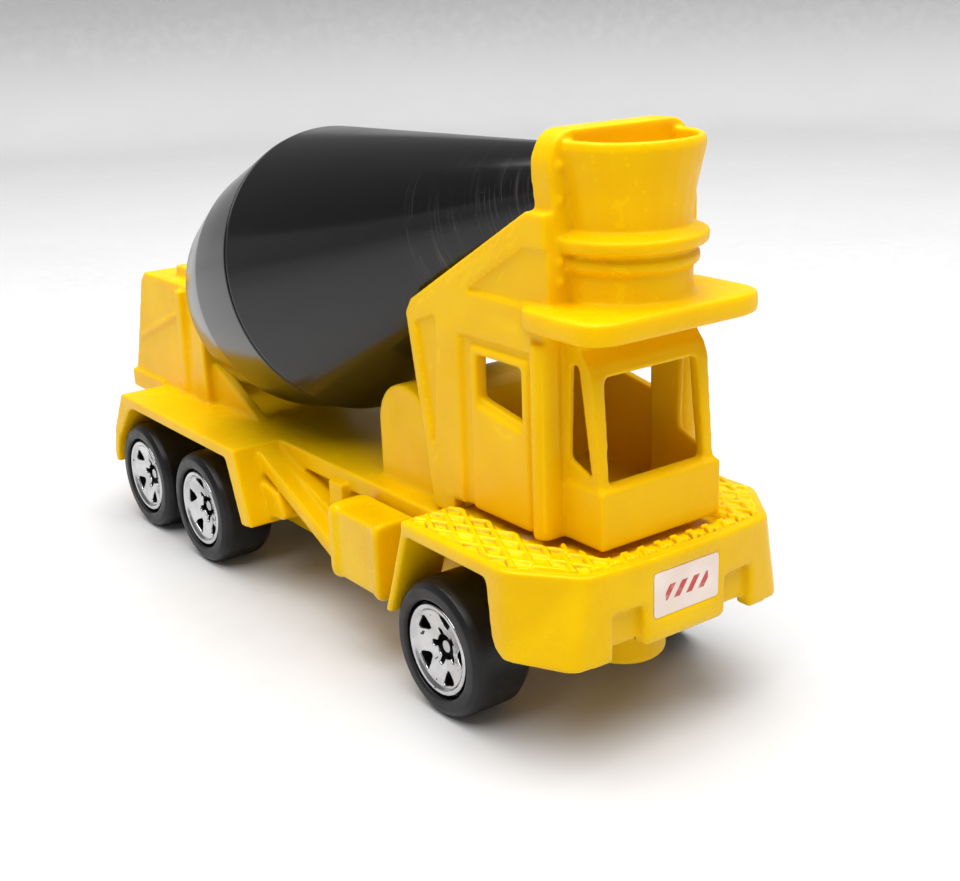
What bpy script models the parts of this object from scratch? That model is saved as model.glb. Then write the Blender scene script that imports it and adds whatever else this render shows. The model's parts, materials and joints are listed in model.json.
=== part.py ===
"""Toy cement mixer: a small die-cast front-discharge mixer truck with a turning drum.

Metres, +Z up. The truck faces -Y and stands on its wheels at z = 0, with the origin under the
middle of its length and width. A "station" is a distance back from the front of the bumper.
"""

import math

import bmesh
import bpy
from mathutils import Matrix, Vector

MM = 0.001

# Overall sizes
LENGTH = 81.1 * MM
HALF_WIDTH = 13.05 * MM
GAP = 0.3 * MM

# Wheels and axles
WHEEL_RADIUS = 5.7 * MM
WHEEL_WIDTH = 5.5 * MM
WHEEL_OUTER_X = 12.75 * MM
WHEEL_BEVEL = 0.9 * MM
TREAD_DEPTH = 1.75 * MM
FACE_RADIUS = WHEEL_RADIUS - TREAD_DEPTH
FACE_THICKNESS = 0.35 * MM
FACE_DEPTH = 0.2 * MM
AXLE_RADIUS = 0.5 * MM
WHEEL_SPACE = 1.6 * MM
MIDDLE_STATION = 56.6 * MM
REAR_STATION = MIDDLE_STATION + 2 * WHEEL_RADIUS + WHEEL_SPACE
AXLE_STATIONS = {"front": 15.1 * MM, "middle": MIDDLE_STATION, "rear": REAR_STATION}

# Die-cast base
DECK_TOP = 15.7 * MM
DECK_THICKNESS = 1.3 * MM
DECK_END = 18.8 * MM
BUMPER_BOTTOM = 8.5 * MM
BUMPER_MIDDLE_BOTTOM = 9.2 * MM
BUMPER_WALL = 1.4 * MM
BUMPER_BOW = 0.6 * MM
BUMPER_CORNER_LOW = 10.6 * MM
BUMPER_CORNER_HIGH = 9.2 * MM
BUMPER_ROUNDING = 0.8 * MM
CHAMFER_END = 5.6 * MM
POCKET_INNER_X = 4.2 * MM
POCKET_OUTER_X = 7.0 * MM
POCKET_TOP = 12.2 * MM
POCKET_DEPTH = 0.8 * MM
WHEEL_OPENING_START = 7.8 * MM
SKIRT_THICKNESS = 0.8 * MM
SKIRT_BOTTOM = 6.9 * MM
SPINE_HALF_WIDTH = 5.6 * MM
SPINE_BOTTOM = 3.6 * MM
SPINE_STEP = 0.2 * MM
SPINE_END = 77.0 * MM
SIDE_BOX_START = 23.4 * MM
SIDE_BOX_LENGTH = 7.35 * MM
SIDE_BOX_OUTER_X = 12.3 * MM
SIDE_BOX_BOTTOM = 7.0 * MM
SIDE_BOX_TOP = 13.3 * MM
STRAP_WIDTH = 0.95 * MM
STRAP_PROUD = 0.3 * MM
POST_RADIUS = 3.4 * MM
POST_BOTTOM = 4.8 * MM
POST_STATION = 7.2 * MM
LABEL_HALF_WIDTH = 3.3 * MM
LABEL_BOTTOM = 10.85 * MM
LABEL_TOP = 14.4 * MM
LABEL_THICKNESS = 0.1 * MM
LABEL_RECESS = 0.3 * MM
RIVET_STATIONS = {"front": 35.0 * MM, "rear": 50.0 * MM}
RIVET_HEAD_RADIUS = 1.6 * MM
RIVET_HEAD_HEIGHT = 0.6 * MM
RIVET_SHANK_RADIUS = 0.8 * MM

# Mixer bed
FENDER_ROOM = 1.7 * MM
FENDER_THICKNESS = 1.2 * MM
BED_TOP = 2 * WHEEL_RADIUS + FENDER_ROOM + FENDER_THICKNESS
BED_THICKNESS = 1.8 * MM
BED_HALF_WIDTH = 8.0 * MM
FENDER_FRONT = MIDDLE_STATION - WHEEL_RADIUS - 3.8 * MM
FENDER_REAR = REAR_STATION + 3.2 * MM
TANK_STATION = 28.2 * MM
TANK_RADIUS = 3.9 * MM
TANK_TOP = 23.3 * MM
HOUSING_FRONT = 62.5 * MM
HOUSING_TOP = 26.0 * MM
HOUSING_HALF_WIDTH = 7.7 * MM
HOUSING_DRAFT = 0.7 * MM
HOUSING_REAR_SLOPE = 2.8 * MM
HOUSING_WALL = 1.4 * MM
HOUSING_STEP = 1.2 * MM

# Cab
POD_HALF_WIDTH = 6.0 * MM
POD_FRONT = 2.7 * MM
POD_REAR = 8.3 * MM
PANEL_OUTER_X = 7.5 * MM
PANEL_THICKNESS = 1.2 * MM
PANEL_RELIEF = 0.35 * MM
PANEL_FRONT = 6.9 * MM
PANEL_REAR_FOOT = 22.2 * MM
PANEL_REAR_TOP = 24.9 * MM
PANEL_CORNER_Z = 31.3 * MM
PANEL_PEAK_Z = 40.3 * MM
ROOF_TOP = 33.7 * MM
ROOF_END = 16.2 * MM
CAB_WALL = 1.0 * MM
POD_SIDE_WALL = 0.75 * MM
POD_BELT = 0.25 * MM
DOOR_FRONT = 9.2 * MM
DOOR_REAR = 16.4 * MM
DOOR_TOP = 29.3 * MM
GROOVE_REAR = 17.6 * MM
GROOVE_TOP = 30.0 * MM
SILL_Z = 20.7 * MM
HEADER_Z = 28.6 * MM
VISOR_HALF_WIDTH = 8.7 * MM
VISOR_FRONT = 0.3 * MM
VISOR_END = 10.0 * MM
VISOR_THICKNESS = 1.8 * MM
VISOR_ROUNDING = 3.0 * MM

# Hopper
HOPPER_TOP = 45.9 * MM
HOPPER_RIM_Z = 45.2 * MM
HOPPER_HALF_WIDTH = 7.0 * MM
PLATE_THICKNESS = 2.2 * MM
HOPPER_FLOOR_Z = 39.8 * MM
HOPPER_WALL = 1.0 * MM
HOPPER_DEPTH_RATIO = 1.0
MOUTH_DEPTH_RATIO = 0.86

# Drum
DRUM_STATION = 44.2 * MM
DRUM_Z = 30.25 * MM
DRUM_TILT = math.radians(17.4)
DRUM_RADIUS = 13.3 * MM
DRUM_MOUTH_RADIUS = 3.6 * MM
DRUM_CONE_LENGTH = 35.0 * MM
DRUM_BAND_LENGTH = 8.9 * MM
DRUM_BAND_RADIUS = 12.3 * MM
DRUM_TAIL_LENGTH = 15.2 * MM
DRUM_TAIL_RADIUS = 10.7 * MM
DRUM_END_LENGTH = 16.9 * MM
DRUM_WALL = 1.0 * MM
DRUM_CLEARANCE = 0.4 * MM
STUB_RADIUS = 1.3 * MM
FRONT_STUB_LENGTH = 3.3 * MM
REAR_STUB_LENGTH = 4.0 * MM

ROUND_STEPS = 48
WHEEL_STEPS = 32
PIN_STEPS = 16


def along(station):
    """The y of a station measured back from the front of the bumper."""
    return station - LENGTH / 2


def material(name, color, roughness, metallic=0.0):
    """A plain Principled material."""
    result = bpy.data.materials.new(name)
    result.use_nodes = True
    shader = result.node_tree.nodes["Principled BSDF"]
    shader.inputs["Base Color"].default_value = (*color, 1.0)
    shader.inputs["Roughness"].default_value = roughness
    shader.inputs["Metallic"].default_value = metallic
    return result


def new_object(name, bm):
    """Turn a bmesh into an object with its faces pointing out."""
    bmesh.ops.recalc_face_normals(bm, faces=bm.faces)
    mesh = bpy.data.meshes.new(name)
    bm.to_mesh(mesh)
    bm.free()
    result = bpy.data.objects.new(name, mesh)
    bpy.context.scene.collection.objects.link(result)
    return result


def prism(outline, axis, start, end):
    """Extrude an outline. Axis x takes (y, z) points, y takes (x, z) and z takes (x, y)."""
    places = {
        "x": lambda a, b, depth: (depth, a, b),
        "y": lambda a, b, depth: (a, depth, b),
        "z": lambda a, b, depth: (a, b, depth),
    }
    bm = bmesh.new()
    base = bm.faces.new([bm.verts.new(places[axis](a, b, start)) for a, b in outline])
    moved = bmesh.ops.extrude_face_region(bm, geom=[base])["geom"]
    offset = Vector(places[axis](0.0, 0.0, end - start))
    bmesh.ops.translate(bm, vec=offset, verts=[v for v in moved if isinstance(v, bmesh.types.BMVert)])
    return new_object("prism", bm)


def block(x_range, station_range, z_range):
    """A box between two x values, two stations and two heights."""
    (x0, x1), (s0, s1), (z0, z1) = x_range, station_range, z_range
    outline = [(x0, along(s0)), (x1, along(s0)), (x1, along(s1)), (x0, along(s1))]
    return prism(outline, "z", z0, z1)


def side_outline(points):
    """Turn (station, z) points into (y, z) points."""
    return [(along(station), z) for station, z in points]


def rounded(outline, radius, steps=3, kept=()):
    """Replace each corner of an outline, but for the kept ones, by a curve of the given reach."""
    result = []
    count = len(outline)
    for index in range(count):
        if index in kept:
            result.append(outline[index])
            continue
        corner = Vector(outline[index])
        before = Vector(outline[index - 1]) - corner
        after = Vector(outline[(index + 1) % count]) - corner
        reach = min(radius, before.length * 0.45, after.length * 0.45)
        start = corner + before.normalized() * reach
        end = corner + after.normalized() * reach
        for step in range(steps + 1):
            t = step / steps
            point = start * (1 - t) ** 2 + corner * 2 * t * (1 - t) + end * t ** 2
            result.append((point.x, point.y))
    return result


def loft(rings):
    """A solid through rings of points that all have the same count."""
    bm = bmesh.new()
    loops = [[bm.verts.new(point) for point in ring] for ring in rings]
    for low, high in zip(loops, loops[1:]):
        count = len(low)
        for index in range(count):
            after = (index + 1) % count
            bm.faces.new((low[index], low[after], high[after], high[index]))
    bm.faces.new(loops[0])
    bm.faces.new(loops[-1])
    return new_object("loft", bm)


def turned(profile, steps):
    """Spin a closed (radius, height) profile about Z; points on the axis have radius 0."""
    bm = bmesh.new()
    verts = [bm.verts.new((radius, 0.0, height)) for radius, height in profile]
    edges = [bm.edges.new((verts[i], verts[i + 1])) for i in range(len(verts) - 1)]
    if profile[0][0] > 0.0:
        edges.append(bm.edges.new((verts[-1], verts[0])))
    bmesh.ops.spin(bm, geom=verts + edges, cent=(0, 0, 0), axis=(0, 0, 1), angle=math.tau,
                   steps=steps, use_merge=True)
    bmesh.ops.remove_doubles(bm, verts=bm.verts, dist=1e-7)
    return new_object("turned", bm)


def cylinder(radius, start, end, steps=PIN_STEPS):
    """A solid cylinder between two points."""
    length = (end - start).length
    result = turned([(0.0, 0.0), (radius, 0.0), (radius, length), (0.0, length)], steps)
    turn = Vector((0, 0, 1)).rotation_difference(end - start)
    result.data.transform(Matrix.Translation(start) @ turn.to_matrix().to_4x4())
    return result


def combine(body, tools, operation):
    """Join tools to a body, or cut them from it, and delete the tools."""
    for tool in tools:
        modifier = body.modifiers.new(operation, "BOOLEAN")
        modifier.operation = operation
        modifier.solver = "EXACT"
        modifier.object = tool
        depsgraph = bpy.context.evaluated_depsgraph_get()
        result = bpy.data.meshes.new_from_object(body.evaluated_get(depsgraph))
        body.modifiers.clear()
        body.data = result
        bpy.data.objects.remove(tool)
    return body


def union(body, *tools):
    return combine(body, tools, "UNION")


def cut(body, *tools):
    return combine(body, tools, "DIFFERENCE")


def mirrored(make):
    """Make a shape on the right side and again on the left."""
    right = make()
    left = make()
    left.data.transform(Matrix.Scale(-1.0, 4, Vector((1, 0, 0))))
    left.data.flip_normals()
    return [right, left]


def finish(body, name, surface, smooth=False):
    """Name a finished piece, give it its material and its shading."""
    body.name = name
    body.data.name = name
    body.data.materials.clear()
    body.data.materials.append(surface)
    if smooth:
        body.data.shade_smooth()
        body.data.set_sharp_from_angle(angle=math.radians(35))
    return body


def axle_point(which, x):
    """A point on an axle's centre line."""
    return Vector((x, along(AXLE_STATIONS[which]), WHEEL_RADIUS))


def drum_point(distance):
    """A point on the drum's axis, a distance forward of the drum's widest ring."""
    direction = Vector((0, -math.cos(DRUM_TILT), math.sin(DRUM_TILT)))
    return Vector((0, along(DRUM_STATION), DRUM_Z)) + direction * distance


def wheel_clear_edge(which, height, side):
    """Station of a line that stays a gap clear of a wheel at a height, ahead (-1) or behind (1)."""
    reach = WHEEL_RADIUS + GAP
    rise = min(abs(height - WHEEL_RADIUS), reach)
    return AXLE_STATIONS[which] + side * math.sqrt(reach ** 2 - rise ** 2)


def place_on_drum(body):
    """Stand a piece turned about Z on the drum's axis, +Z towards the hopper."""
    stand = Matrix.Translation(drum_point(0.0)) @ Matrix.Rotation(math.pi / 2 - DRUM_TILT, 4, "X")
    body.matrix_world = stand
    return body


def drum_room():
    """A cutter that keeps neighbours a clearance away from the turning drum."""
    room = DRUM_CLEARANCE
    body = turned([
        (0, -DRUM_END_LENGTH - room), (DRUM_TAIL_RADIUS * 0.6 + room, -DRUM_END_LENGTH - room),
        (DRUM_TAIL_RADIUS + room, -DRUM_TAIL_LENGTH - room), (DRUM_BAND_RADIUS + room, -DRUM_BAND_LENGTH),
        (DRUM_RADIUS + room, 0.0), (DRUM_MOUTH_RADIUS + room, DRUM_CONE_LENGTH + room / 2),
        (0, DRUM_CONE_LENGTH + room / 2),
    ], ROUND_STEPS)
    return place_on_drum(body)


# ---------------------------------------------------------------- die-cast base

def bumper_outline(corner_x, inset=0.0):
    """Plan of the bumper and the front deck: bowed front, rounded cut corners, straight sides."""
    side = HALF_WIDTH - inset
    corner = corner_x - inset * 0.5
    steps = 8
    front = []
    for step in range(steps + 1):
        x = -corner + 2 * corner * step / steps
        front.append((x, along(inset + BUMPER_BOW * (x / corner) ** 2)))
    back = along(DECK_END - inset)
    chamfer_end = along(CHAMFER_END)
    outline = front + [(side, chamfer_end), (side, back), (-side, back), (-side, chamfer_end)]
    inner_points = set(range(1, steps))
    back_corners = {steps + 2, steps + 3}
    return rounded(outline, BUMPER_ROUNDING, kept=inner_points | back_corners)


def bumper_block():
    """Bumper and deck as one block; its cut corners lean out towards the bottom."""
    low = [(x, y, BUMPER_BOTTOM) for x, y in bumper_outline(BUMPER_CORNER_LOW)]
    high = [(x, y, DECK_TOP) for x, y in bumper_outline(BUMPER_CORNER_HIGH)]
    return loft([low, high])


def wheel_opening():
    """The cut that opens the sides for the front wheels, rounded at the bumper's foot."""
    deck_under = DECK_TOP - DECK_THICKNESS
    below = BUMPER_BOTTOM - MM
    start = WHEEL_OPENING_START
    outline = [
        (start, deck_under), (start - 0.5 * MM, BUMPER_BOTTOM + 1.5 * MM),
        (start - 0.9 * MM, BUMPER_BOTTOM + 0.6 * MM), (start - 1.7 * MM, BUMPER_BOTTOM),
        (start - 1.7 * MM, below), (DECK_END + MM, below), (DECK_END + MM, deck_under),
    ]
    return prism(side_outline(outline), "x", -HALF_WIDTH - MM, HALF_WIDTH + MM)


def front_skirt():
    """The mudguard behind a front wheel, leaning back round the tyre."""
    deck_under = DECK_TOP - DECK_THICKNESS
    middle = 9.0 * MM
    low = wheel_clear_edge("front", SKIRT_BOTTOM, 1)
    mid = wheel_clear_edge("front", middle, 1)
    top = DECK_END - SKIRT_THICKNESS
    outline = [
        (top, deck_under + 0.5 * MM), (mid, middle), (low, SKIRT_BOTTOM),
        (low + SKIRT_THICKNESS, SKIRT_BOTTOM), (mid + SKIRT_THICKNESS, middle),
        (DECK_END, deck_under + 0.5 * MM),
    ]
    return prism(side_outline(outline), "x", BED_HALF_WIDTH + GAP, HALF_WIDTH)


def side_box():
    """The box between the wheels, with a raised strap round each end."""
    start, end = SIDE_BOX_START, SIDE_BOX_START + SIDE_BOX_LENGTH
    inner = BED_HALF_WIDTH + GAP
    outline = [(start, SIDE_BOX_BOTTOM), (end, SIDE_BOX_BOTTOM), (end, SIDE_BOX_TOP), (start, SIDE_BOX_TOP)]
    body = prism(rounded(side_outline(outline), 0.9 * MM), "x", inner, SIDE_BOX_OUTER_X)
    strap_low, strap_high = SIDE_BOX_BOTTOM - STRAP_PROUD, SIDE_BOX_TOP + STRAP_PROUD
    strap_outer = SIDE_BOX_OUTER_X + STRAP_PROUD
    for strap_start in (start - STRAP_PROUD / 2, end + STRAP_PROUD / 2 - STRAP_WIDTH):
        section = rounded([
            (inner, strap_low), (strap_outer, strap_low), (strap_outer, strap_high), (inner, strap_high),
        ], 0.9 * MM)
        union(body, prism(section, "y", along(strap_start), along(strap_start + STRAP_WIDTH)))
    link_top = BED_TOP - BED_THICKNESS - GAP
    return union(body, block((SPINE_HALF_WIDTH - MM, inner + MM), (start + MM, end - MM),
                             (SIDE_BOX_BOTTOM + MM, link_top)))


def chassis_base(surface):
    """The painted casting: bumper, front fenders and deck, spine and side boxes."""
    deck_under = DECK_TOP - DECK_THICKNESS
    spine_top = BED_TOP - BED_THICKNESS - GAP
    body = bumper_block()
    inside = bumper_outline(BUMPER_CORNER_HIGH, BUMPER_WALL)
    middle = block((-POCKET_OUTER_X, POCKET_OUTER_X), (-MM, CHAMFER_END), (0, BUMPER_MIDDLE_BOTTOM))
    cut(body, prism(inside, "z", BUMPER_BOTTOM - MM, deck_under), wheel_opening(), middle)
    nose_bottom = BUMPER_MIDDLE_BOTTOM - 0.4 * MM
    nose_top = BUMPER_MIDDLE_BOTTOM + MM
    nose = rounded([
        (-POCKET_INNER_X, nose_bottom), (POCKET_INNER_X, nose_bottom),
        (POCKET_INNER_X, nose_top), (-POCKET_INNER_X, nose_top),
    ], 0.5 * MM)
    union(body, prism(nose, "y", along(0.25 * MM), along(BUMPER_WALL + BUMPER_BOW)))
    pocket_back = POCKET_DEPTH + BUMPER_BOW / 3
    pockets = [block((side * POCKET_INNER_X, side * POCKET_OUTER_X), (-MM, pocket_back),
                     (BUMPER_BOTTOM - MM, POCKET_TOP)) for side in (-1, 1)]
    margin = GAP / 3
    label_room = block((-LABEL_HALF_WIDTH - margin, LABEL_HALF_WIDTH + margin), (-MM, LABEL_RECESS),
                       (LABEL_BOTTOM - margin, LABEL_TOP + margin))
    cut(body, *pockets, label_room)
    union(body, *mirrored(front_skirt))
    spine_start = POST_STATION + POST_RADIUS + GAP
    union(body, block((-SPINE_HALF_WIDTH, SPINE_HALF_WIDTH), (spine_start, DECK_END),
                      (SPINE_BOTTOM, deck_under + 0.5 * MM)))
    beam_half = SPINE_HALF_WIDTH - SPINE_STEP
    union(body, block((-beam_half, beam_half), (DECK_END - MM, SPINE_END),
                      (SPINE_BOTTOM + SPINE_STEP, spine_top)))
    union(body, *mirrored(side_box))
    reach = HALF_WIDTH + MM
    bores = [cylinder(AXLE_RADIUS + GAP, axle_point(which, -reach), axle_point(which, reach))
             for which in AXLE_STATIONS]
    shank_bores = [cylinder(RIVET_SHANK_RADIUS + GAP, Vector((0, along(station), 0)),
                            Vector((0, along(station), DECK_TOP))) for station in RIVET_STATIONS.values()]
    cut(body, *bores, *shank_bores)
    return finish(body, "chassis_base", surface)


def front_post(surface):
    """The round plastic post that reaches down through the base behind the bumper."""
    top = DECK_TOP - DECK_THICKNESS - GAP
    edge = 0.4 * MM
    height = top - POST_BOTTOM
    body = turned([(0, 0), (POST_RADIUS - edge, 0), (POST_RADIUS, edge), (POST_RADIUS, height), (0, height)],
                  ROUND_STEPS // 2)
    body.location = (0, along(POST_STATION), POST_BOTTOM)
    return finish(body, "front_post", surface, smooth=True)


def front_label(surface):
    """The paper label, set in its shallow recess in the bumper."""
    front = LABEL_RECESS - LABEL_THICKNESS - GAP / 3
    body = block((-LABEL_HALF_WIDTH, LABEL_HALF_WIDTH), (front, front + LABEL_THICKNESS),
                 (LABEL_BOTTOM, LABEL_TOP))
    return finish(body, "front_label", surface)


def base_rivet(which, surface):
    """A rivet whose head closes the base to the mixer bed."""
    head_top = SPINE_BOTTOM + SPINE_STEP - GAP
    shoulder = head_top - RIVET_HEAD_HEIGHT * 0.6
    head_low = head_top - RIVET_HEAD_HEIGHT
    top = BED_TOP - BED_THICKNESS - GAP
    body = turned([
        (0, head_low), (RIVET_HEAD_RADIUS * 0.7, head_low), (RIVET_HEAD_RADIUS, shoulder),
        (RIVET_HEAD_RADIUS, head_top), (RIVET_SHANK_RADIUS, head_top), (RIVET_SHANK_RADIUS, top), (0, top),
    ], PIN_STEPS)
    body.location = (0, along(RIVET_STATIONS[which]), 0)
    return finish(body, "rivet_" + which, surface, smooth=True)


# ---------------------------------------------------------------- mixer bed

def fender_arch():
    """A rear fender: flat top, leaning front skirt, rear skirt curved round the tyre."""
    under = BED_TOP - FENDER_THICKNESS
    low = 6.9 * MM
    middle = 9.0 * MM
    thick = 0.9 * MM
    inner_low = wheel_clear_edge("rear", low, 1)
    inner_mid = wheel_clear_edge("rear", middle, 1)
    front_foot = FENDER_FRONT - 2.5 * MM
    outline = [
        (front_foot, low + 0.3 * MM), (FENDER_FRONT, BED_TOP), (FENDER_REAR, BED_TOP),
        (inner_mid + thick, middle + MM), (inner_low + thick, low), (inner_low + thick * 0.8, low - MM),
        (inner_low, low - MM), (inner_low, low), (inner_mid, middle),
        (FENDER_REAR - 1.5 * MM, under - 0.4 * MM), (FENDER_REAR - 2.5 * MM, under),
        (FENDER_FRONT + 1.8 * MM, under), (front_foot + 2.0 * MM, low),
    ]
    return prism(side_outline(outline), "x", BED_HALF_WIDTH - 0.5 * MM, HALF_WIDTH)


def brace_bar(start, end, depth, x_range):
    """A bar seen from the side as a leaning strip between two (station, z) points."""
    across = Vector((start[1] - end[1], end[0] - start[0])).normalized() * depth / 2
    outline = [
        (start[0] + across.x, start[1] + across.y), (end[0] + across.x, end[1] + across.y),
        (end[0] - across.x, end[1] - across.y), (start[0] - across.x, start[1] - across.y),
    ]
    return prism(side_outline(outline), "x", *x_range)


def braces():
    """The two leaning braces ahead of the rear fender, and the pad on the fender's skirt."""
    foot = SIDE_BOX_START + SIDE_BOX_LENGTH + STRAP_PROUD + 3 * GAP
    top = FENDER_FRONT
    main = brace_bar((foot, 6.6 * MM), (top, 13.1 * MM), 1.5 * MM, (8.9 * MM, 10.6 * MM))
    second = brace_bar((foot + 4.5 * MM, 9.6 * MM), (top + MM, 13.6 * MM), 0.9 * MM,
                       (7.0 * MM, 8.9 * MM))
    pad_outline = rounded([
        (top - 5.4 * MM, 8.2 * MM), (top - 1.2 * MM, 7.6 * MM), (top, 11.2 * MM),
        (top - 4.0 * MM, 10.4 * MM),
    ], 0.8 * MM)
    pad = prism(side_outline(pad_outline), "x", 8.6 * MM, 10.9 * MM)
    post = block((7.0 * MM, 8.9 * MM), (foot + 2.6 * MM, foot + 4.9 * MM), (9.2 * MM, BED_TOP - MM))
    return union(main, second, pad, post)


def housing_shape():
    """The engine housing: drafted sides, sloping rear, a raised step on top."""
    under = BED_TOP - BED_THICKNESS
    edge = 0.8 * MM
    rear_top = LENGTH - HOUSING_REAR_SLOPE
    outline = [
        (HOUSING_FRONT, under), (LENGTH, under), (LENGTH, under + MM), (rear_top, HOUSING_TOP - edge),
        (rear_top - edge, HOUSING_TOP), (HOUSING_FRONT, HOUSING_TOP),
    ]
    body = prism(side_outline(outline), "x", -HOUSING_HALF_WIDTH, HOUSING_HALF_WIDTH)
    step_end = HOUSING_FRONT + 10.6 * MM
    step_top = HOUSING_TOP + HOUSING_STEP
    step = rounded([(HOUSING_FRONT, HOUSING_TOP - MM), (step_end, HOUSING_TOP - MM),
                    (step_end, step_top), (HOUSING_FRONT, step_top)], 0.5 * MM)
    union(body, prism(side_outline(step), "x", -5.2 * MM, 5.2 * MM))
    span = HOUSING_TOP - under
    for vertex in body.data.vertices:
        if abs(vertex.co.x) > HOUSING_HALF_WIDTH * 0.9:
            share = (vertex.co.z - under) / span
            vertex.co.x -= math.copysign(HOUSING_DRAFT * share, vertex.co.x)
    return body


def housing_relief():
    """Ribs on the side of the engine housing, a plinth along its foot and a leaning ridge."""
    under = BED_TOP - BED_THICKNESS
    face = HOUSING_HALF_WIDTH - HOUSING_DRAFT
    outer = HOUSING_HALF_WIDTH + 0.1 * MM
    rib = block((face - MM, outer), (HOUSING_FRONT + 4.6 * MM, HOUSING_FRONT + 6.0 * MM),
                (under + MM, HOUSING_TOP - 0.5 * MM))
    front_rib = block((face - MM, outer), (HOUSING_FRONT, HOUSING_FRONT + 2.6 * MM),
                      (under + MM, HOUSING_TOP - 2 * MM))
    plinth = block((face - MM, HOUSING_HALF_WIDTH + 0.3 * MM), (FENDER_REAR + GAP, LENGTH),
                   (under, BED_TOP + 0.3 * MM))
    ridge = brace_bar((HOUSING_FRONT + 5.0 * MM, 23.4 * MM), (LENGTH - 2.2 * MM, 18.6 * MM), 0.5 * MM,
                      (face - MM, HOUSING_HALF_WIDTH - 0.1 * MM))
    return union(rib, front_rib, plinth, ridge)


def mixer_bed(surface):
    """The plastic bed: rails, rear fenders, braces, water tank and engine housing."""
    under = BED_TOP - BED_THICKNESS
    body = block((-BED_HALF_WIDTH, BED_HALF_WIDTH), (DECK_END + GAP, HOUSING_FRONT + 2 * MM),
                 (under, BED_TOP))
    union(body, housing_shape())
    union(body, *mirrored(fender_arch))
    union(body, *mirrored(housing_relief))
    union(body, *mirrored(braces))
    straight = TANK_TOP - TANK_RADIUS
    arc_steps = 12
    foot = BED_TOP - 0.5 * MM
    tank = [(TANK_STATION - TANK_RADIUS, foot)]
    for step in range(arc_steps + 1):
        angle = math.pi * (1 - step / arc_steps)
        tank.append((TANK_STATION + TANK_RADIUS * math.cos(angle),
                     straight + TANK_RADIUS * math.sin(angle)))
    tank.append((TANK_STATION + TANK_RADIUS, foot))
    tank_half = PANEL_OUTER_X - PANEL_THICKNESS - GAP
    union(body, prism(side_outline(tank), "x", -tank_half, tank_half))
    web = [(HOUSING_FRONT + MM, foot), (HOUSING_FRONT + MM, 19.0 * MM),
           (HOUSING_FRONT - 10.5 * MM, foot)]
    union(body, *mirrored(lambda: prism(side_outline(web), "x", 5.6 * MM, 6.8 * MM)))
    inner = HOUSING_HALF_WIDTH - HOUSING_DRAFT - HOUSING_WALL
    hollow = [
        (HOUSING_FRONT + HOUSING_WALL, under - MM), (LENGTH - HOUSING_WALL, under - MM),
        (LENGTH - HOUSING_REAR_SLOPE - HOUSING_WALL, HOUSING_TOP - HOUSING_WALL),
        (HOUSING_FRONT + HOUSING_WALL, HOUSING_TOP - HOUSING_WALL),
    ]
    cut(body, prism(side_outline(hollow), "x", -inner, inner))
    socket = cylinder(STUB_RADIUS + GAP, drum_point(-DRUM_END_LENGTH),
                      drum_point(-DRUM_END_LENGTH - REAR_STUB_LENGTH - GAP))
    cut(body, drum_room(), socket)
    return finish(body, "mixer_bed", surface)


# ---------------------------------------------------------------- cab and hopper

def panel_rear(height):
    """Station of the side panel's leaning rear edge at a height."""
    lean = (PANEL_REAR_TOP - PANEL_REAR_FOOT) / (PANEL_CORNER_Z - DECK_TOP)
    return PANEL_REAR_FOOT + lean * (height - DECK_TOP)


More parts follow.
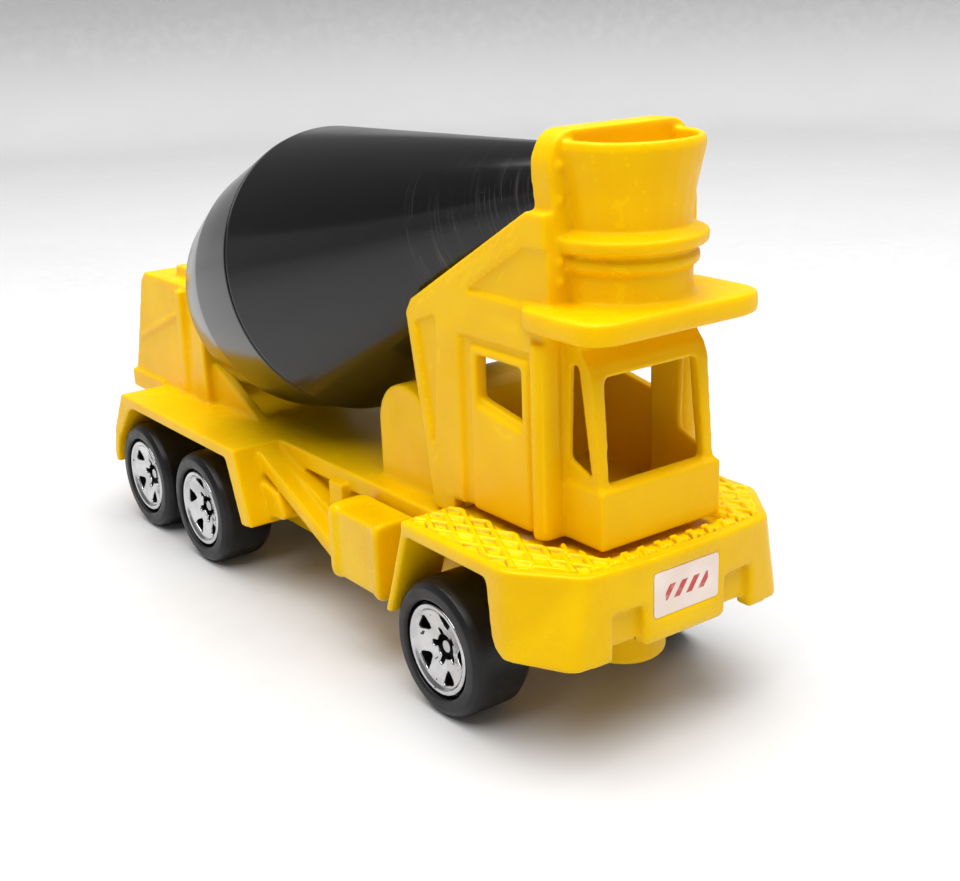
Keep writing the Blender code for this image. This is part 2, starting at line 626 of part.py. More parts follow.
def side_panel():
    """One side of the cab: a sheet with sunk fields, a door with its window and a pillar."""
    foot = DECK_TOP + GAP
    bed_foot = BED_TOP + GAP
    inner_x = PANEL_OUTER_X - PANEL_THICKNESS
    sunk_x = PANEL_OUTER_X - PANEL_RELIEF
    peak = (PANEL_FRONT + PLATE_THICKNESS, PANEL_PEAK_Z)
    corner = (PANEL_REAR_TOP, PANEL_CORNER_Z)
    step_station = DECK_END + GAP
    sheet = [
        (PANEL_FRONT, foot), (step_station, foot), (step_station, bed_foot),
        (panel_rear(bed_foot), bed_foot), (corner[0], corner[1] - 0.8 * MM),
        (corner[0] - 0.8 * MM, corner[1] + 0.4 * MM), peak, (PANEL_FRONT, PANEL_PEAK_Z),
    ]
    body = prism(side_outline(sheet), "x", inner_x, PANEL_OUTER_X)
    rear_field = rounded(side_outline([
        (corner[0] - 1.3 * MM, corner[1] - 1.4 * MM), (panel_rear(19.2 * MM) - 1.2 * MM, 19.2 * MM),
        (corner[0] - 4.1 * MM, corner[1] - 0.4 * MM),
    ]), 0.3 * MM)
    door_field = side_outline([
        (PANEL_FRONT - MM, foot - MM), (GROOVE_REAR, foot - MM), (GROOVE_REAR, GROOVE_TOP),
        (PANEL_FRONT - MM, GROOVE_TOP),
    ])
    roof_field = side_outline([
        (PANEL_FRONT - MM, ROOF_TOP - 0.2 * MM), (ROOF_END + 0.4 * MM, ROOF_TOP - 0.2 * MM),
        (PANEL_FRONT + PLATE_THICKNESS + 0.3 * MM, PANEL_PEAK_Z - 2.6 * MM),
        (PANEL_FRONT - MM, PANEL_PEAK_Z - 2.6 * MM),
    ])
    for field in (rear_field, door_field, roof_field):
        cut(body, prism(field, "x", sunk_x, PANEL_OUTER_X + MM))
    door = rounded(side_outline([
        (DOOR_FRONT, foot), (DOOR_REAR, foot), (DOOR_REAR, DOOR_TOP), (DOOR_FRONT, DOOR_TOP),
    ]), 0.4 * MM)
    union(body, prism(door, "x", inner_x, PANEL_OUTER_X))
    window_front, window_rear = DOOR_FRONT + 0.8 * MM, DOOR_REAR - 0.9 * MM
    window_top = DOOR_TOP - 0.6 * MM
    sill_front, sill_rear = 24.2 * MM, 25.2 * MM
    sill_drop = 0.5 * MM
    window = rounded(side_outline([
        (window_front, sill_front), (window_rear, sill_rear), (window_rear, window_top),
        (window_front, window_top),
    ]), 0.3 * MM)
    sill = side_outline([
        (window_front, sill_front - sill_drop), (window_rear, sill_rear - sill_drop),
        (window_rear, window_top), (window_front, window_top),
    ])
    cut(body, prism(sill, "x", sunk_x, PANEL_OUTER_X + MM))
    cut(body, prism(window, "x", inner_x - MM, PANEL_OUTER_X + MM))
    pillar_x = PANEL_OUTER_X - 0.3 * MM
    pillar_y = along(PANEL_FRONT + 0.9 * MM)
    pillar = cylinder(0.9 * MM, Vector((pillar_x, pillar_y, foot)),
                      Vector((pillar_x, pillar_y, 31.0 * MM)), 12)
    return union(body, pillar)


def pod_outline(inset=0.0):
    """Side view of the driver's pod: upright nose, leaning windshield, rounded brow."""
    foot = DECK_TOP + GAP + inset
    top = ROOF_TOP - VISOR_THICKNESS + 0.3 * MM - inset
    rear = POD_REAR + (2.0 * MM if inset else 0.0)
    nose = POD_FRONT + inset
    return side_outline([
        (nose, foot), (rear, foot), (rear, top), (nose + 2.5 * MM, top), (nose + 2.5 * MM, 30.6 * MM),
        (nose + 1.6 * MM, 29.6 * MM), (nose + 1.2 * MM, HEADER_Z), (nose + 2 * POD_BELT, SILL_Z),
        (nose, SILL_Z - 0.2 * MM),
    ])


def hopper_ring(radius, height, depth_ratio, steps=14):
    """Half an oval round the front of the back plate, closed through the plate."""
    plate_front = PANEL_FRONT
    points = [(radius, plate_front + MM)]
    for step in range(steps + 1):
        angle = math.pi * step / steps
        points.append((radius * math.cos(angle), plate_front - radius * depth_ratio * math.sin(angle)))
    points.append((-radius, plate_front + MM))
    return [(x, along(station), height) for x, station in points]


def hopper_loft(sections, depth_ratio):
    """A solid through half ovals given as (height, radius)."""
    return loft([hopper_ring(radius, height, depth_ratio) for height, radius in sections])


def hopper():
    """The hopper: back plate and a half-round cup with two collars and a flared rim."""
    cup = hopper_loft([
        (ROOF_TOP - 0.5 * MM, 5.1 * MM), (35.9 * MM, 5.0 * MM), (36.2 * MM, 5.5 * MM),
        (36.8 * MM, 5.5 * MM), (37.2 * MM, 5.1 * MM), (37.6 * MM, 6.1 * MM), (38.4 * MM, 6.2 * MM),
        (38.9 * MM, 4.9 * MM), (41.5 * MM, 5.2 * MM), (HOPPER_RIM_Z - 0.6 * MM, 5.9 * MM),
        (HOPPER_RIM_Z, 5.7 * MM),
    ], HOPPER_DEPTH_RATIO)
    side = HOPPER_HALF_WIDTH
    waist = side - 0.5 * MM
    plate_outline = rounded([
        (-waist, ROOF_TOP - MM), (waist, ROOF_TOP - MM), (waist, PANEL_PEAK_Z),
        (side, HOPPER_TOP - 2.0 * MM), (side - 1.2 * MM, HOPPER_TOP), (-side + 1.2 * MM, HOPPER_TOP),
        (-side, HOPPER_TOP - 2.0 * MM), (-waist, PANEL_PEAK_Z),
    ], 1.2 * MM)
    body = prism(plate_outline, "y", along(PANEL_FRONT), along(PANEL_FRONT + PLATE_THICKNESS))
    union(body, cup)
    mouth = hopper_loft([
        (HOPPER_FLOOR_Z, 3.9 * MM), (HOPPER_RIM_Z - MM, 5.8 * MM - HOPPER_WALL),
        (HOPPER_TOP + MM, 6.0 * MM - HOPPER_WALL),
    ], MOUTH_DEPTH_RATIO)
    mouth.data.transform(Matrix.Translation((0, -1.0 * MM, 0)))
    return cut(body, mouth)


def driver_pod():
    """The driver's pod: an open box with a belt line, a windshield and two quarter windows."""
    inner = POD_HALF_WIDTH - POD_SIDE_WALL
    pod = prism(pod_outline(), "x", -POD_HALF_WIDTH, POD_HALF_WIDTH)
    cut(pod, prism(pod_outline(CAB_WALL), "x", -inner, inner))
    upper_x = POD_HALF_WIDTH - POD_BELT
    above_belt = (SILL_Z - 0.2 * MM, ROOF_TOP)
    cut(pod, *[block((side * upper_x, side * HALF_WIDTH), (0, LENGTH), above_belt) for side in (-1, 1)])
    low_half, high_half = 4.75 * MM, 4.55 * MM
    windshield = rounded([
        (-low_half, SILL_Z), (low_half, SILL_Z), (high_half, HEADER_Z), (-high_half, HEADER_Z),
    ], 0.3 * MM)
    quarter = rounded(side_outline([
        (POD_FRONT + 3.6 * MM, HEADER_Z + 0.8 * MM), (POD_FRONT + 3.9 * MM, SILL_Z + 1.6 * MM),
        (POD_FRONT + 1.5 * MM, SILL_Z + 0.6 * MM), (POD_FRONT + 2.8 * MM, HEADER_Z + 0.8 * MM),
    ]), 0.2 * MM)
    return cut(pod, prism(windshield, "y", along(-MM), along(POD_FRONT + 3 * MM)),
               prism(quarter, "x", -POD_HALF_WIDTH - MM, POD_HALF_WIDTH + MM))


def cab_body(surface):
    """The plastic moulding: driver's pod, side panels, roof, visor and hopper."""
    foot = DECK_TOP + GAP
    lap = PANEL_OUTER_X - PANEL_THICKNESS + 0.5 * MM
    start = PANEL_FRONT + 0.3 * MM
    floor = block((-lap, lap), (start, DECK_END), (foot, foot + CAB_WALL))
    roof = block((-lap, lap), (start, ROOF_END), (ROOF_TOP - 1.2 * MM, ROOF_TOP))
    shoulders = [block((side * (POD_HALF_WIDTH - POD_SIDE_WALL), side * (PANEL_OUTER_X - 0.6 * MM)),
                       (PANEL_FRONT + 0.2 * MM, DOOR_FRONT + 0.6 * MM),
                       (foot, ROOF_TOP - 0.5 * MM)) for side in (-1, 1)]
    visor_outline = rounded([
        (-VISOR_HALF_WIDTH, along(VISOR_FRONT)), (VISOR_HALF_WIDTH, along(VISOR_FRONT)),
        (VISOR_HALF_WIDTH, along(VISOR_END)), (-VISOR_HALF_WIDTH, along(VISOR_END)),
    ], VISOR_ROUNDING, steps=5)
    visor = prism(visor_outline, "z", ROOF_TOP - VISOR_THICKNESS, ROOF_TOP)
    body = union(driver_pod(), floor, roof, *shoulders, *mirrored(side_panel), visor, hopper())
    socket = cylinder(STUB_RADIUS + GAP, drum_point(DRUM_CONE_LENGTH),
                      drum_point(DRUM_CONE_LENGTH + FRONT_STUB_LENGTH + GAP))
    cut(body, drum_room(), socket)
    return finish(body, "cab_body", surface)


# ---------------------------------------------------------------- drum

def drum_cone(surface):
    """The front half: a hollow cone with a closed mouth and a stub."""
    seam = GAP / 2
    end = DRUM_CONE_LENGTH
    edge = 0.4 * MM
    slope = (DRUM_RADIUS - DRUM_MOUTH_RADIUS) / DRUM_CONE_LENGTH
    profile = [
        (0, end - DRUM_WALL), (DRUM_MOUTH_RADIUS - DRUM_WALL, end - DRUM_WALL),
        (DRUM_RADIUS - DRUM_WALL, seam), (DRUM_RADIUS, seam),
        (DRUM_MOUTH_RADIUS + edge * slope, end - edge), (DRUM_MOUTH_RADIUS - edge, end),
        (STUB_RADIUS, end), (STUB_RADIUS, end + FRONT_STUB_LENGTH), (0, end + FRONT_STUB_LENGTH),
    ]
    return finish(place_on_drum(turned(profile, ROUND_STEPS)), "drum_cone", surface, smooth=True)


def drum_rear(surface):
    """The rear half: a hollow bowl of two bands and a nearly flat end, with a stub."""
    seam = -GAP / 2
    end = -DRUM_END_LENGTH
    profile = [
        (0, end - REAR_STUB_LENGTH), (STUB_RADIUS, end - REAR_STUB_LENGTH), (STUB_RADIUS, end),
        (DRUM_TAIL_RADIUS * 0.55, end + 0.3 * MM), (DRUM_TAIL_RADIUS * 0.9, end + 1.1 * MM),
        (DRUM_TAIL_RADIUS, -DRUM_TAIL_LENGTH), (DRUM_BAND_RADIUS, -DRUM_BAND_LENGTH), (DRUM_RADIUS, seam),
        (DRUM_RADIUS - DRUM_WALL, seam), (DRUM_BAND_RADIUS - DRUM_WALL, -DRUM_BAND_LENGTH),
        (DRUM_TAIL_RADIUS - DRUM_WALL * 1.2, -DRUM_TAIL_LENGTH + DRUM_WALL * 0.5), (0, end + DRUM_WALL * 1.6),
    ]
    return finish(place_on_drum(turned(profile, ROUND_STEPS)), "drum_rear", surface, smooth=True)


# ---------------------------------------------------------------- wheels

def wheel_mesh():
    """One-piece wheel about Z, outer face at z = 0: rounded tread, recess for the bright face."""
    recess = FACE_DEPTH + FACE_THICKNESS + GAP
    lip = FACE_RADIUS + GAP / 2
    shoulder = WHEEL_RADIUS - 0.2 * MM
    return turned([
        (AXLE_RADIUS + GAP, -recess), (lip, -recess), (lip, -0.15 * MM), (lip + 0.2 * MM, 0.0),
        (shoulder - 0.5 * MM, 0.0), (shoulder, -WHEEL_BEVEL * 0.45), (WHEEL_RADIUS, -WHEEL_BEVEL),
        (WHEEL_RADIUS, -WHEEL_WIDTH + WHEEL_BEVEL), (shoulder - 0.4 * MM, -WHEEL_WIDTH),
        (AXLE_RADIUS + GAP, -WHEEL_WIDTH),
    ], WHEEL_STEPS)


def face_window(angle):
    """A rounded triangular window near the rim of the bright face."""
    outer = FACE_RADIUS - 0.65 * MM
    inner = FACE_RADIUS * 0.44
    corners = [(outer, 20.0), (outer, -14.0), (inner, -6.0)]
    outline = []
    for radius, turn in corners:
        place = angle + math.radians(turn)
        outline.append((radius * math.cos(place), radius * math.sin(place)))
    return prism(rounded(outline, 0.75 * MM, 2), "z", -2 * MM, 2 * MM)


def wheel_face_mesh():
    """The bright five-spoke face about Z: a thin dished disc with five windows and an open hub."""
    back = -FACE_DEPTH - FACE_THICKNESS
    front = -FACE_DEPTH
    radius = FACE_RADIUS - GAP / 2
    dish = 0.15 * MM
    body = turned([(0, back), (radius, back), (radius, front - dish), (radius - 0.3 * MM, front),
                   (radius - 0.7 * MM, front - dish), (0, front - dish)], WHEEL_STEPS)
    spokes = 5
    windows = [face_window(math.tau * index / spokes) for index in range(spokes)]
    hub = turned([(0, -2 * MM), (0.9 * MM, -2 * MM), (0.9 * MM, 2 * MM), (0, 2 * MM)], 10)
    return cut(body, *windows, hub)


def wheel_pair(which, tyre_surface, face_surface):
    """Both wheels of an axle with their faces. The truck's right side is -X."""
    for side, word in ((-1, "right"), (1, "left")):
        hub = bpy.data.objects.new("wheel_centre_" + which + "_" + word, None)
        bpy.context.scene.collection.objects.link(hub)
        hub.location = axle_point(which, side * WHEEL_OUTER_X)
        hub.rotation_euler = (0, side * math.pi / 2, 0)
        wheel = finish(wheel_mesh(), "wheel_" + which + "_" + word, tyre_surface, smooth=True)
        face = finish(wheel_face_mesh(), "wheel_face_" + which + "_" + word, face_surface, smooth=True)
        wheel.parent = hub
        face.parent = hub


def axle(which, surface):
    """A plain wire axle through the spine, ending inside the wheels."""
    end = WHEEL_OUTER_X - FACE_DEPTH - FACE_THICKNESS - 2 * GAP
    body = cylinder(AXLE_RADIUS, axle_point(which, -end), axle_point(which, end))
    return finish(body, "axle_" + which, surface, smooth=True)


def main():
    for item in list(bpy.data.objects):
        bpy.data.objects.remove(item)
    paint = material("yellow_paint", (0.95, 0.60, 0.01), 0.28)
    plastic = material("yellow_plastic", (0.93, 0.55, 0.01), 0.42)
    black = material("black_plastic", (0.012, 0.012, 0.013), 0.38)
    drum_black = material("drum_plastic", (0.018, 0.018, 0.02), 0.33)
    chrome = material("bright_foil", (0.82, 0.82, 0.84), 0.16, 1.0)
    steel = material("steel_wire", (0.55, 0.55, 0.56), 0.3, 1.0)
    paper = material("label_paper", (0.86, 0.80, 0.74), 0.5)
    chassis_base(paint)
    front_post(plastic)
    front_label(paper)
    for which in RIVET_STATIONS:
        base_rivet(which, steel)
    mixer_bed(plastic)
    cab_body(plastic)
    drum_cone(drum_black)
    drum_rear(drum_black)
    for which in AXLE_STATIONS:
        axle(which, steel)
        wheel_pair(which, black, chrome)


main()
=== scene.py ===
"""Looks for the toy cement mixer: rounded mouldings, tread plate, bright wheels, worn paint."""

import json
import math

import bmesh
import bpy
import numpy as np
from mathutils import Matrix, Vector


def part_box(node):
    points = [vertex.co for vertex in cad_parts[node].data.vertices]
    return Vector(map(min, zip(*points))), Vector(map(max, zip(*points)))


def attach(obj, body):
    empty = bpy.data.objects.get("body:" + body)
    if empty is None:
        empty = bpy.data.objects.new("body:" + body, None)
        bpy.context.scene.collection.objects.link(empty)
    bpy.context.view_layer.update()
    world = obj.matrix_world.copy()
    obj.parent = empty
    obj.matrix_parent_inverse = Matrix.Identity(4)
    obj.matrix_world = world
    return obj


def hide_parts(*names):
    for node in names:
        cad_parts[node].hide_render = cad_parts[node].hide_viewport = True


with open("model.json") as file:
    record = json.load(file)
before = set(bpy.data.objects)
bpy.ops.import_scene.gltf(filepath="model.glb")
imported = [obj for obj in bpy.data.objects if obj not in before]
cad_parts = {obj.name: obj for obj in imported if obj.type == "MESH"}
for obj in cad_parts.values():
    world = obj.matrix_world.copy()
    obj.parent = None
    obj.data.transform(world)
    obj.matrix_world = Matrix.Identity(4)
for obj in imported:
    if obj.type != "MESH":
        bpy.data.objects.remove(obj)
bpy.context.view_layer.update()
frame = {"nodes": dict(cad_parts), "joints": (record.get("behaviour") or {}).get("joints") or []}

MM = 0.001
FRONT_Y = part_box("chassis_base")[0].y

# Sizes that the looks share with the solids, in millimetres
DECK_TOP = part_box("chassis_base")[1].z / MM
HALF_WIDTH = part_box("chassis_base")[1].x / MM
DECK_END = 18.8
BUMPER_CORNER_X = 9.2
BUMPER_BOW = 0.6
CHAMFER_END = 5.6
POD_HALF_WIDTH = 6.0
POD_FRONT = 2.7
PANEL_HALF_WIDTH = 7.5
PANEL_FRONT = 6.9
PANEL_END = 22.2
WHEEL_RADIUS = 5.7
WHEEL_WIDTH = 5.5
FACE_RADIUS = 3.8
DRUM_RADIUS = 13.3
DRUM_SEAM = 0.07

# Tread plate on the front deck
TREAD_WIDTH = 1.64
TREAD_LENGTH = 3.4
TREAD_RIDGE = 0.26
TREAD_GRID = 0.1
TREAD_BORDER = 0.65
TREAD_JOINT = 4.75

# Camera: place in millimetres, then angles in degrees
CAMERA_PLACE = (-69.06, -109.84, 56.69)
CAMERA_AZIMUTH = -36.63
CAMERA_ELEVATION = 18.41
CAMERA_ROLL = -1.92
CAMERA_LENS = 53.5
CAMERA_SHIFT = -0.0137

# Tint of the gloss on the yellow surfaces
GLOSS_TINT = (1.0, 0.82, 0.12, 1.0)

# Voxel size in millimetres and rounds of smoothing, for each rounded skin
CASTING_SKIN = (0.17, 9)
CAB_SKIN = (0.13, 8)
BED_SKIN = (0.15, 7)
POST_SKIN = (0.12, 6)
FACE_SKIN = (0.06, 4)

# Small shapes, in millimetres
SEAT_DEPTH = 0.5
BOLT_RADIUS = 0.38
BOLT_HEIGHTS = (43.5, 41.1, 38.3, 36.8, 35.4)
SPOKES = 5
FACE_THICKNESS = 0.45
FACE_HUB_RADIUS = 1.05
CUTTER_DEPTH = 3.0
LABEL_ROUNDING = 0.35
LABEL_HALF_THICKNESS = 0.05

# How far each axle's wheels have turned, in degrees
WHEEL_TURNS = {"front": -38.0, "middle": -60.0, "rear": -32.0}

# Studio, in metres: the sweep, the light overhead and the air's brightness
FLOOR_REACH = 0.44
FLOOR_WALL = 0.16
FLOOR_SWEEP = 0.06
LIGHT_PLACE = (-0.02, -0.035, 0.42)
LIGHT_TARGET = (0.0, 0.0, 0.02)
LIGHT_SIZE = 0.56
LIGHT_POWER = 4.7
AIR_STRENGTH = 0.2

DRUM_JOINT = next(joint for joint in frame["joints"] if joint["name"] == "drum_spin")


def smoothstep(low, high, value):
    """0 below low, 1 above high, eased between; low may be above high."""
    t = np.clip((value - low) / (high - low), 0.0, 1.0)
    return t * t * (3.0 - 2.0 * t)


# ---------------------------------------------------------------- node materials

class Surface:
    """A Principled material with small helpers for the nodes that drive it."""

    def __init__(self, name, roughness, metallic=0.0, **sockets):
        self.material = bpy.data.materials.new(name)
        self.material.use_nodes = True
        self.tree = self.material.node_tree
        self.shader = self.tree.nodes["Principled BSDF"]
        self.shader.inputs["Roughness"].default_value = roughness
        self.shader.inputs["Metallic"].default_value = metallic
        for socket, value in sockets.items():
            self.shader.inputs[socket.replace("_", " ")].default_value = value
        self.place = self.node("ShaderNodeTexCoord").outputs["Object"]

    def node(self, kind, **settings):
        """A new node with its settings."""
        result = self.tree.nodes.new(kind)
        for name, value in settings.items():
            setattr(result, name, value)
        return result

    def feed(self, socket, value):
        """Link a socket's value, or set it where it is a plain one."""
        if isinstance(value, bpy.types.NodeSocket):
            self.tree.links.new(value, socket)
        else:
            socket.default_value = value

    def drive(self, name, value):
        """Feed one of the shader's own sockets."""
        self.feed(self.shader.inputs[name], value)

    def mapped(self, scale=(1, 1, 1), turn=(0, 0, 0), move=(0, 0, 0), kind="POINT"):
        """The object's own coordinates, scaled, turned and moved."""
        node = self.node("ShaderNodeMapping", vector_type=kind)
        self.feed(node.inputs["Vector"], self.place)
        node.inputs["Location"].default_value = move
        node.inputs["Rotation"].default_value = turn
        node.inputs["Scale"].default_value = scale
        return node.outputs["Vector"]

    def noise(self, scale, detail=2.0, vector=None, rough=0.5):
        """Noise from 0 to 1."""
        node = self.node("ShaderNodeTexNoise")
        self.feed(node.inputs["Vector"], vector or self.place)
        node.inputs["Scale"].default_value = scale
        node.inputs["Detail"].default_value = detail
        node.inputs["Roughness"].default_value = rough
        return node.outputs["Fac"]

    def steps(self, value, low, high, start=0.0, end=1.0):
        """Map low..high to start..end, clamped."""
        node = self.node("ShaderNodeMapRange", interpolation_type="SMOOTHSTEP")
        self.feed(node.inputs["Value"], value)
        limits = {"From Min": low, "From Max": high, "To Min": start, "To Max": end}
        for name, number in limits.items():
            node.inputs[name].default_value = number
        return node.outputs["Result"]

    def math(self, operation, first, second=0.0):
        """One sum on two values."""
        node = self.node("ShaderNodeMath", operation=operation)
        self.feed(node.inputs[0], first)
        self.feed(node.inputs[1], second)
        return node.outputs["Value"]

    def blend(self, share, first, second):
        """Mix two colours; first where share is 0."""
        node = self.node("ShaderNodeMix", data_type="RGBA")
        self.feed(node.inputs["Factor"], share)
        for socket, value in ((node.inputs[6], first), (node.inputs[7], second)):
            self.feed(socket, (*value, 1.0) if isinstance(value, tuple) else value)
        return node.outputs[2]

    def bump(self, height, distance, strength=1.0):
        """Turn a height into the shader's normal."""
        node = self.node("ShaderNodeBump")
        node.inputs["Strength"].default_value = strength
        node.inputs["Distance"].default_value = distance
        self.feed(node.inputs["Height"], height)
        self.drive("Normal", node.outputs["Normal"])

    def edges(self):
        """Above a half on outward edges, below it in creases."""
        return self.node("ShaderNodeNewGeometry").outputs["Pointiness"]

    def axes(self):
        """The object's own x, y and z as single values."""
        node = self.node("ShaderNodeSeparateXYZ")
        self.feed(node.inputs["Vector"], self.place)
        return node.outputs


def paint_surface():
    """Glossy enamel on the casting: soft ripple, painted shade in the creases, chips along the
    edges.
    """
    s = Surface("cast_paint", 0.24, Specular_IOR_Level=0.45, Specular_Tint=GLOSS_TINT)
    drift = s.steps(s.noise(160.0, 3.0), 0.35, 0.7)
    color = s.blend(drift, (0.80, 0.46, 0.0), (0.86, 0.53, 0.0))
    # painted shade: the creases are coloured darker orange where shade falls in them
    crease_shade = s.steps(s.edges(), 0.49, 0.43)
    color = s.blend(s.math("MULTIPLY", crease_shade, 0.75), color, (0.62, 0.27, 0.0))
    specks = s.steps(s.noise(1500.0, 5.0, rough=0.7), 0.64, 0.67)
    patches = s.steps(s.noise(210.0, 2.0), 0.53, 0.6)
    worn_edge = s.steps(s.edges(), 0.535, 0.56)
    chips = s.math("MULTIPLY", s.math("MULTIPLY", specks, patches), worn_edge)
    color = s.blend(chips, color, (0.10, 0.07, 0.04))
    s.drive("Base Color", color)
    s.drive("Roughness", s.steps(s.noise(420.0, 4.0), 0.3, 0.75, 0.17, 0.34))
    ripple = s.math("ADD", s.noise(520.0, 2.0), s.math("MULTIPLY", s.noise(2600.0, 2.0), 0.25))
    s.bump(s.math("SUBTRACT", ripple, chips), 0.00006, 0.5)
    return s.material


def tread_surface():
    """The casting's enamel over the tread plate, painted lighter as painted light on the top-facing
    deck, with painted shade in patches beside the ridges.
    """
    s = Surface("tread_paint", 0.22, Specular_IOR_Level=0.5, Specular_Tint=GLOSS_TINT)
    # strength of the painted shade beside the ridges, kept on the plate's points
    lift = s.node("ShaderNodeAttribute", attribute_name="ridge_shade").outputs["Fac"]
    lift = s.math("MULTIPLY", lift, 0.85)
    patchy = s.steps(s.noise(420.0, 4.0, rough=0.65), 0.42, 0.62)
    drift = s.steps(s.noise(160.0, 3.0), 0.35, 0.7)
    # painted light: this enamel is coloured lighter than on the casting, for the top-facing deck
    color = s.blend(drift, (0.94, 0.56, 0.0), (0.98, 0.62, 0.0))
    # painted shade: dark brown in patches beside the ridges
    color = s.blend(s.math("MULTIPLY", lift, patchy), color, (0.28, 0.11, 0.0))
    s.drive("Base Color", color)
    s.drive("Roughness", s.steps(s.noise(520.0, 4.0), 0.3, 0.75, 0.12, 0.26))
    s.bump(s.noise(1400.0, 3.0), 0.00006, 0.7)
    return s.material


def plastic_surface():
    """Yellow moulded plastic: a little light inside, painted highlights along the outward edges,
    painted orange shade in the creases.
    """
    s = Surface("yellow_moulding", 0.4, Specular_IOR_Level=0.35, Specular_Tint=GLOSS_TINT,
                Subsurface_Weight=0.25, Subsurface_Scale=0.0012)
    s.shader.inputs["Subsurface Radius"].default_value = (1.0, 0.45, 0.05)
    drift = s.steps(s.noise(120.0, 3.0), 0.3, 0.7)
    color = s.blend(drift, (0.82, 0.465, 0.0), (0.88, 0.53, 0.0))
    # painted shade: the creases are coloured darker orange where shade falls in them
    crease_shade = s.steps(s.edges(), 0.495, 0.42)
    color = s.blend(s.math("MULTIPLY", crease_shade, 0.7), color, (0.70, 0.29, 0.0))
    # painted highlight: the outward edges are coloured lighter yellow
    edge_highlight = s.steps(s.edges(), 0.53, 0.62)
    color = s.blend(s.math("MULTIPLY", edge_highlight, 0.25), color, (1.0, 0.70, 0.0))
    dust = s.steps(s.noise(2400.0, 5.0, rough=0.75), 0.66, 0.72)
    color = s.blend(s.math("MULTIPLY", dust, 0.35), color, (0.55, 0.27, 0.03))
    s.drive("Base Color", color)
    s.drive("Roughness", s.steps(s.noise(700.0, 4.0), 0.3, 0.75, 0.32, 0.5))
    grain = s.math("ADD", s.noise(5200.0, 2.0), s.math("MULTIPLY", s.noise(900.0, 2.0), 1.5))
    s.bump(grain, 0.00003, 0.45)
    return s.material


def drum_surface():
    """Satin black plastic, scuffed in rings near the mouth and with fine light dust specks all over.
    """
    s = Surface("drum_plastic_worn", 0.3, Specular_IOR_Level=0.36, Coat_Weight=0.12,
                Coat_Roughness=0.22)
    axis = Vector(DRUM_JOINT["axis"])
    centre = Vector(DRUM_JOINT["pos_m"])
    stand = axis.to_track_quat("Z", "Y").to_matrix().to_4x4()
    turn = stand.inverted().to_euler()
    shift = -(stand.inverted() @ centre)
    own = s.mapped(turn=tuple(turn), move=tuple(shift))
    parts = s.node("ShaderNodeSeparateXYZ")
    s.feed(parts.inputs["Vector"], own)
    forward = parts.outputs["Z"]

    def rings(scale, stretch, detail):
        """Noise stretched into rings about the drum's axis."""
        vector = s.node("ShaderNodeVectorMath", operation="MULTIPLY")
        s.feed(vector.inputs[0], own)
        vector.inputs[1].default_value = (1.0, 1.0, stretch)
        return s.noise(scale, detail, vector.outputs["Vector"], 0.7)

    near_mouth = s.steps(forward, 0.014, 0.030)
    mouth_rings = s.math("MULTIPLY", s.steps(rings(90.0, 34.0, 6.0), 0.52, 0.7), near_mouth)
    patches = s.steps(s.noise(75.0, 3.0, own), 0.42, 0.62)
    scuff = s.math("MULTIPLY", mouth_rings, patches)
    fine_rings = s.steps(rings(240.0, 14.0, 8.0), 0.66, 0.74)
    hairs = s.math("MULTIPLY", fine_rings, s.steps(s.noise(60.0, 2.0, own), 0.5, 0.6))
    marks = s.math("MAXIMUM", s.math("MULTIPLY", scuff, 0.4), s.math("MULTIPLY", hairs, 0.18))
    specks = s.math("MULTIPLY", s.steps(s.noise(1900.0, 4.0, own, 0.7), 0.69, 0.74), 0.3)
    color = s.blend(s.math("MAXIMUM", marks, specks), (0.004, 0.004, 0.0045), (0.16, 0.15, 0.14))
    s.drive("Base Color", color)
    cloudy = s.steps(s.noise(110.0, 4.0, own), 0.3, 0.72, 0.11, 0.2)
    s.drive("Roughness", s.math("ADD", cloudy, s.math("MULTIPLY", marks, 0.35)))
    s.bump(s.math("SUBTRACT", s.math("MULTIPLY", rings(300.0, 9.0, 4.0), 0.5), marks), 0.00002, 0.35)
    return s.material


def wheel_surface():
    """Black plastic wheel: satin wall, fine grain and handling haze."""
    s = Surface("wheel_plastic", 0.34, Specular_IOR_Level=0.28)
    haze = s.steps(s.noise(330.0, 4.0), 0.4, 0.75)
    s.drive("Base Color", s.blend(haze, (0.006, 0.006, 0.0065), (0.013, 0.013, 0.0135)))
    s.drive("Roughness", s.steps(s.noise(800.0, 4.0), 0.3, 0.75, 0.28, 0.44))
    s.bump(s.noise(3500.0, 3.0), 0.00002, 0.4)
    return s.material


def foil_surface():
    """Bright hot-stamped foil: slight smears, and black plastic where the edges have worn."""
    s = Surface("bright_face_foil", 0.14, 1.0)
    edge = s.steps(s.edges(), 0.56, 0.6)
    worn = s.math("MULTIPLY", edge, s.steps(s.noise(1700.0, 4.0), 0.56, 0.62))
    smear = s.steps(s.noise(600.0, 3.0), 0.35, 0.7)
    color = s.blend(smear, (0.62, 0.62, 0.63), (0.50, 0.50, 0.51))
    s.drive("Base Color", s.blend(worn, color, (0.05, 0.05, 0.05)))
    s.drive("Roughness", s.steps(s.noise(900.0, 4.0), 0.3, 0.75, 0.08, 0.24))
    s.bump(s.noise(800.0, 2.0), 0.00003, 0.5)
    return s.material


def steel_surface():
    """Drawn steel wire with fine lines along its length."""
    s = Surface("drawn_steel", 0.3, 1.0)
    lines = s.noise(2200.0, 4.0, s.mapped(scale=(0.02, 1.0, 1.0)))
    s.drive("Base Color", s.blend(lines, (0.42, 0.42, 0.43), (0.62, 0.62, 0.62)))
    s.drive("Roughness", s.steps(lines, 0.3, 0.7, 0.22, 0.42))
    s.bump(lines, 0.00001, 0.5)
    return s.material


